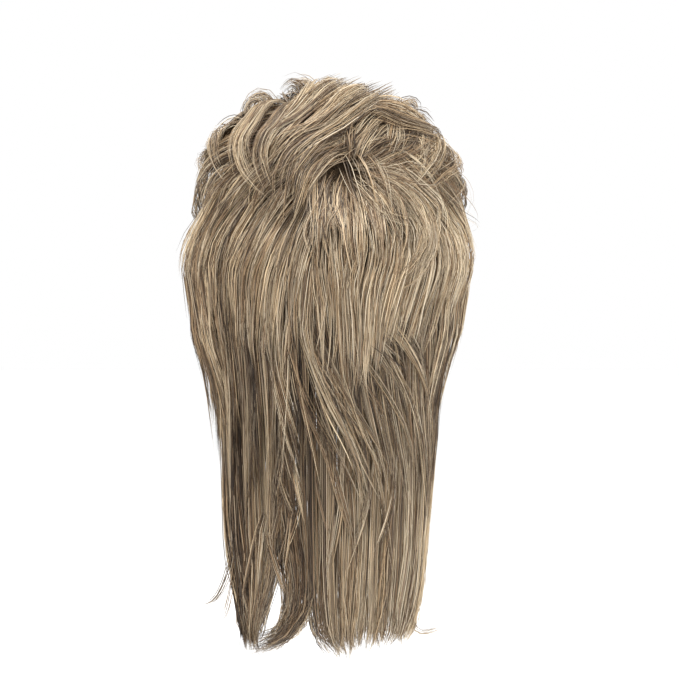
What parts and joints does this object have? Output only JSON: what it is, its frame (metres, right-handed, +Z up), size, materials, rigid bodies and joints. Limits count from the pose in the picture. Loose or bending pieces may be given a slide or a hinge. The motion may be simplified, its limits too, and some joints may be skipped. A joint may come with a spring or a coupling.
{
  "type": "mullet wig",
  "caption": "Mullet wig with short lifted hair swept over the crown, hair over the ears and long layered hair down the back, on an open cap with a bound edge.",
  "frame": {"origin": "inside of the cap at its crown, where the top of the wearer's head seats", "axes": "+Z up when worn, -Y the way the wearer faces, so the long hair hangs at +Y, and +X to the wearer's left"},
  "size_m": [0.2048, 0.2327, 0.3923],
  "materials": {
    "cap": "matt stretch net with sewn rows",
    "band": "matt ribbon",
    "long_hair": "soft sheen, ash brown with lighter strands",
    "short_hair": "soft sheen, ash blond with brown strands"
  },
  "bodies": {
    "root": {"cap": "cap", "edge_band": "band", "nape_length": "long_hair", "back_layer": "long_hair", "side_layer_left": "short_hair", "side_layer_right": "short_hair", "fringe": "short_hair", "crown_layer": "short_hair", "top_layer": "short_hair"}
  },
  "joints": []
}
